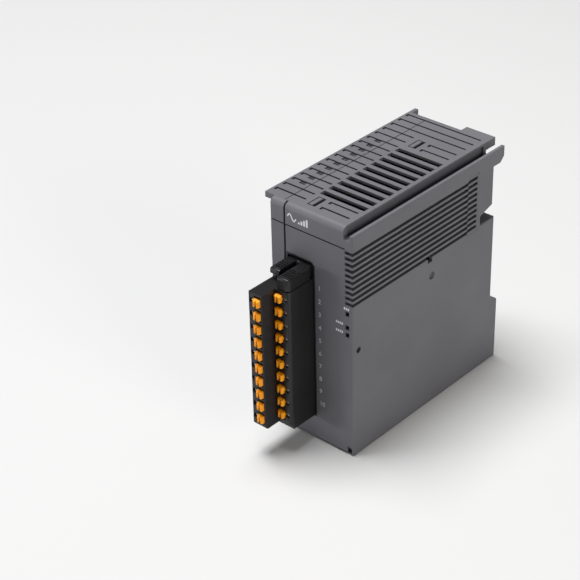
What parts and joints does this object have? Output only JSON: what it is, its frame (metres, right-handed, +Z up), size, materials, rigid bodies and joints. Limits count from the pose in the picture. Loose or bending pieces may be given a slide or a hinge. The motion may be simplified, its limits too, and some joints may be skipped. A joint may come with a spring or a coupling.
{
  "type": "analogue i/o module",
  "caption": "Slim rail-mounted controller i/o module with a vented snap-together housing, side bus contacts and a pluggable two-tier terminal block with spring release buttons.",
  "frame": {"origin": "middle of the housing's bottom face, halfway from the front face to the rear edge above the rail", "axes": "+X along the mounting rail to the right seen from the front, +Y from the front to the rail, +Z up"},
  "size_m": [0.0386, 0.101, 0.088],
  "materials": {
    "housing_grey": "fine spark-eroded texture, neutral dark grey",
    "terminal_black": "glass-filled black, slight sheen",
    "button_orange": "smooth moulded orange",
    "contact_gilt": "gold flash on bronze",
    "contact_tin": "tin plated",
    "spring_steel": "bright rolled",
    "clear_guide": "clear polycarbonate",
    "board_green": "solder mask",
    "component_black": "moulded epoxy",
    "ferrite": "sintered",
    "capacitor_can": "drawn",
    "label_grey": "satin polyester sticker",
    "label_white": "white sticker"
  },
  "bodies": {
    "housing": {"main_case": "housing_grey", "left_cover": "housing_grey", "bus_pin_carrier": "terminal_black", "bus_pins": "contact_gilt", "bus_socket": "housing_grey", "bus_socket_contacts": "contact_gilt", "terminal_header": "terminal_black", "header_pins": "contact_tin", "lever_pin": "spring_steel", "light_guide": "clear_guide", "indicator_leds": "label_white", "terminal_board": "board_green", "bus_board": "board_green", "board_link_socket": "component_black", "board_link_plug": "component_black", "converter_chips": "component_black", "signal_isolators": "component_black", "isolating_transformer": "ferrite", "capacitors": "capacitor_can", "processor_chip": "component_black", "supply_inductor": "ferrite", "earth_spring": "spring_steel", "earth_screw": "spring_steel", "rating_label": "label_grey", "code_label": "label_white"},
    "plug": {"terminal_plug": "terminal_black", "wire_clamps": "contact_tin"},
    "lever": {"release_lever": "terminal_black"},
    "clip": {"rail_clip": "terminal_black"},
    "button_01": {"push_button_01": "button_orange"},
    "button_02": {"push_button_02": "button_orange"},
    "button_03": {"push_button_03": "button_orange"},
    "button_04": {"push_button_04": "button_orange"},
    "button_05": {"push_button_05": "button_orange"},
    "button_06": {"push_button_06": "button_orange"},
    "button_07": {"push_button_07": "button_orange"},
    "button_08": {"push_button_08": "button_orange"},
    "button_09": {"push_button_09": "button_orange"},
    "button_10": {"push_button_10": "button_orange"},
    "button_11": {"push_button_11": "button_orange"},
    "button_12": {"push_button_12": "button_orange"},
    "button_13": {"push_button_13": "button_orange"},
    "button_14": {"push_button_14": "button_orange"},
    "button_15": {"push_button_15": "button_orange"},
    "button_16": {"push_button_16": "button_orange"},
    "button_17": {"push_button_17": "button_orange"},
    "button_18": {"push_button_18": "button_orange"},
    "button_19": {"push_button_19": "button_orange"},
    "button_20": {"push_button_20": "button_orange"}
  },
  "joints": [
    {"name": "plug_pull", "type": "slide", "parent": "housing", "child": "plug", "axis": [0, -1, 0], "range_m": [0, 0.012]},
    {"name": "lever_lift", "type": "hinge", "parent": "housing", "child": "lever", "pos_m": [-0.0049, -0.0362, 0.06689], "axis": [-1, 0, 0], "range_deg": [0, 22]},
    {"name": "clip_pull", "type": "slide", "parent": "housing", "child": "clip", "axis": [0, 0, -1], "range_m": [0, 0.004], "stiffness_N_per_m": 1500},
    {"name": "press_01", "type": "slide", "parent": "plug", "child": "button_01", "axis": [0, 1, 0], "range_m": [0, 0.0012], "stiffness_N_per_m": 1200},
    {"name": "press_02", "type": "slide", "parent": "plug", "child": "button_02", "axis": [0, 1, 0], "range_m": [0, 0.0012], "stiffness_N_per_m": 1200},
    {"name": "press_03", "type": "slide", "parent": "plug", "child": "button_03", "axis": [0, 1, 0], "range_m": [0, 0.0012], "stiffness_N_per_m": 1200},
    {"name": "press_04", "type": "slide", "parent": "plug", "child": "button_04", "axis": [0, 1, 0], "range_m": [0, 0.0012], "stiffness_N_per_m": 1200},
    {"name": "press_05", "type": "slide", "parent": "plug", "child": "button_05", "axis": [0, 1, 0], "range_m": [0, 0.0012], "stiffness_N_per_m": 1200},
    {"name": "press_06", "type": "slide", "parent": "plug", "child": "button_06", "axis": [0, 1, 0], "range_m": [0, 0.0012], "stiffness_N_per_m": 1200},
    {"name": "press_07", "type": "slide", "parent": "plug", "child": "button_07", "axis": [0, 1, 0], "range_m": [0, 0.0012], "stiffness_N_per_m": 1200},
    {"name": "press_08", "type": "slide", "parent": "plug", "child": "button_08", "axis": [0, 1, 0], "range_m": [0, 0.0012], "stiffness_N_per_m": 1200},
    {"name": "press_09", "type": "slide", "parent": "plug", "child": "button_09", "axis": [0, 1, 0], "range_m": [0, 0.0012], "stiffness_N_per_m": 1200},
    {"name": "press_10", "type": "slide", "parent": "plug", "child": "button_10", "axis": [0, 1, 0], "range_m": [0, 0.0012], "stiffness_N_per_m": 1200},
    {"name": "press_11", "type": "slide", "parent": "plug", "child": "button_11", "axis": [0, 1, 0], "range_m": [0, 0.0012], "stiffness_N_per_m": 1200},
    {"name": "press_12", "type": "slide", "parent": "plug", "child": "button_12", "axis": [0, 1, 0], "range_m": [0, 0.0012], "stiffness_N_per_m": 1200},
    {"name": "press_13", "type": "slide", "parent": "plug", "child": "button_13", "axis": [0, 1, 0], "range_m": [0, 0.0012], "stiffness_N_per_m": 1200},
    {"name": "press_14", "type": "slide", "parent": "plug", "child": "button_14", "axis": [0, 1, 0], "range_m": [0, 0.0012], "stiffness_N_per_m": 1200},
    {"name": "press_15", "type": "slide", "parent": "plug", "child": "button_15", "axis": [0, 1, 0], "range_m": [0, 0.0012], "stiffness_N_per_m": 1200},
    {"name": "press_16", "type": "slide", "parent": "plug", "child": "button_16", "axis": [0, 1, 0], "range_m": [0, 0.0012], "stiffness_N_per_m": 1200},
    {"name": "press_17", "type": "slide", "parent": "plug", "child": "button_17", "axis": [0, 1, 0], "range_m": [0, 0.0012], "stiffness_N_per_m": 1200},
    {"name": "press_18", "type": "slide", "parent": "plug", "child": "button_18", "axis": [0, 1, 0], "range_m": [0, 0.0012], "stiffness_N_per_m": 1200},
    {"name": "press_19", "type": "slide", "parent": "plug", "child": "button_19", "axis": [0, 1, 0], "range_m": [0, 0.0012], "stiffness_N_per_m": 1200},
    {"name": "press_20", "type": "slide", "parent": "plug", "child": "button_20", "axis": [0, 1, 0], "range_m": [0, 0.0012], "stiffness_N_per_m": 1200}
  ]
}
